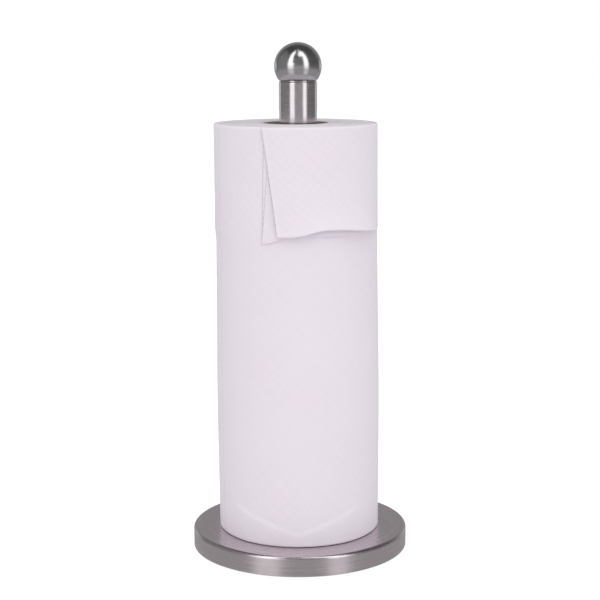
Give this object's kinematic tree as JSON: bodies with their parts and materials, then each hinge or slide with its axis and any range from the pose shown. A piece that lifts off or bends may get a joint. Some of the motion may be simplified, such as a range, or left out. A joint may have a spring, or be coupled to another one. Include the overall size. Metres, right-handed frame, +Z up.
{
  "type": "paper towel holder",
  "caption": "Free-standing paper towel holder: round weighted base, upright tube post with a ball finial, carrying a roll that spins and lifts off.",
  "frame": {"origin": "on the surface the holder stands on, under the centre of the round base", "axes": "+Z up along the post to the finial; -Y is the front, which the roll's loose edge faces; +X is right"},
  "size_m": [0.1484, 0.1484, 0.3471],
  "materials": {
    "brushed_steel": "satin",
    "zinc_plated_steel": "satin",
    "cast_iron": "matte",
    "black_plastic": "matte",
    "grey_rubber": "matte",
    "core_board": "matte",
    "towel_paper": "matte"
  },
  "bodies": {
    "stand": {"base_cover": "brushed_steel", "base_weight": "cast_iron", "base_plate": "black_plastic", "grip_pad": "grey_rubber", "base_bolt": "zinc_plated_steel", "plain_washer": "zinc_plated_steel", "lock_washer": "zinc_plated_steel", "post_gasket": "grey_rubber", "post_tube": "brushed_steel", "lower_plug": "zinc_plated_steel", "upper_plug": "zinc_plated_steel", "neck_washer": "brushed_steel", "finial_stud": "zinc_plated_steel", "ball_shell": "brushed_steel", "ball_boss": "zinc_plated_steel"},
    "core": {"core_tube": "core_board"},
    "roll": {"paper_roll": "towel_paper", "towel_tail": "towel_paper"}
  },
  "joints": [
    {"name": "roll_lift", "type": "slide", "parent": "stand", "child": "core", "axis": [0, 0, 1], "range_m": [0, 0.34]},
    {"name": "roll_spin", "type": "hinge", "parent": "core", "child": "roll", "pos_m": [-0.0015, 0, 0.153], "axis": [0, 0, 1], "continuous": true}
  ]
}
